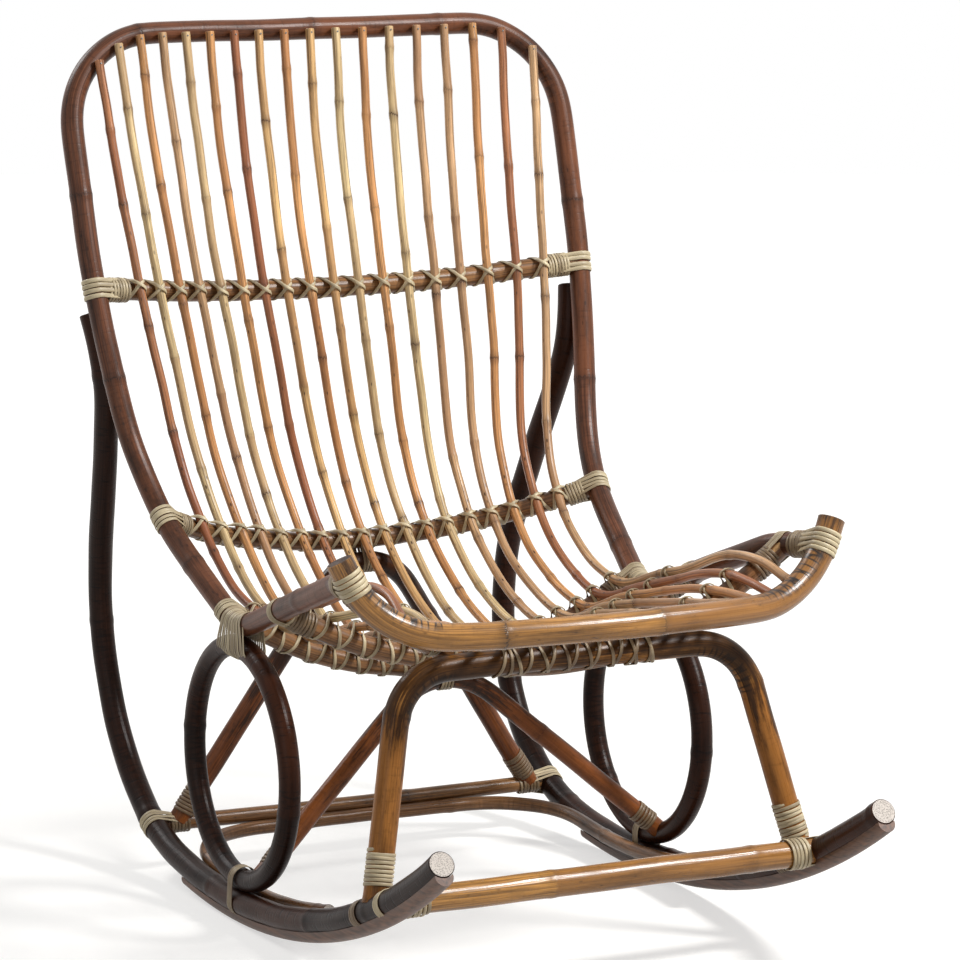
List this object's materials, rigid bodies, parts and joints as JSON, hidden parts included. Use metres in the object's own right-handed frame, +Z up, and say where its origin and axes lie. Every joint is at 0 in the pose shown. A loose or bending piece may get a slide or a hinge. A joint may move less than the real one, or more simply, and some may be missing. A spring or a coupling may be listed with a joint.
{
  "type": "rocking chair",
  "caption": "Rocking chair of bent rattan poles, with a slatted one-piece seat and back, side rings, long curved rockers and split-cane lashings at the joints.",
  "frame": {"origin": "point on the floor midway between the rockers, where they touch it at rest", "axes": "+Z up, -Y towards the front of the seat, +X to the right of someone who faces the chair"},
  "size_m": [0.6695, 0.9478, 0.998],
  "materials": {
    "brown_rattan": "stained reddish brown, satin lacquer",
    "smoked_rattan": "smoked dark brown, satin lacquer",
    "golden_rattan": "golden brown, satin lacquer",
    "cane_slat": "honey-coloured, satin",
    "cane_binding": "pale split cane, matt",
    "dowel_wood": "bare",
    "nail_steel": "bare",
    "screw_steel": "bare"
  },
  "bodies": {
    "root": {"back_frame": "brown_rattan", "front_rail": "golden_rattan", "upper_back_bar": "brown_rattan", "lower_back_bar": "brown_rattan", "rear_seat_bar": "brown_rattan", "mid_seat_bar": "brown_rattan", "front_seat_bar": "brown_rattan", "rocker_left": "smoked_rattan", "rocker_right": "smoked_rattan", "skid_left": "smoked_rattan", "skid_right": "smoked_rattan", "side_ring_left": "smoked_rattan", "side_ring_right": "smoked_rattan", "front_arch": "golden_rattan", "mid_arch": "brown_rattan", "rear_arch": "brown_rattan", "rear_stretcher": "brown_rattan", "front_stretcher": "golden_rattan", "floor_brace": "smoked_rattan", "slat_01": "cane_slat", "slat_02": "cane_slat", "slat_03": "cane_slat", "slat_04": "cane_slat", "slat_05": "cane_slat", "slat_06": "cane_slat", "slat_07": "cane_slat", "slat_08": "cane_slat", "slat_09": "cane_slat", "slat_10": "cane_slat", "slat_11": "cane_slat", "slat_12": "cane_slat", "slat_13": "cane_slat", "slat_14": "cane_slat", "slat_15": "cane_slat", "slat_16": "cane_slat", "slat_17": "cane_slat", "slat_18": "cane_slat", "upper_back_bar_lacing": "cane_binding", "lower_back_bar_lacing": "cane_binding", "rear_seat_bar_lacing": "cane_binding", "mid_seat_bar_lacing": "cane_binding", "front_seat_bar_lacing": "cane_binding", "upper_bar_bindings": "cane_binding", "lower_bar_bindings": "cane_binding", "seat_bar_bindings": "cane_binding", "seat_corner_bindings": "cane_binding", "front_rail_bindings": "cane_binding", "rear_stretcher_bindings": "cane_binding", "front_leg_bindings": "cane_binding", "arch_foot_bindings": "cane_binding", "joint_dowels": "dowel_wood", "slat_nails": "nail_steel", "skid_nails": "nail_steel", "frame_screws": "screw_steel"}
  },
  "joints": []
}
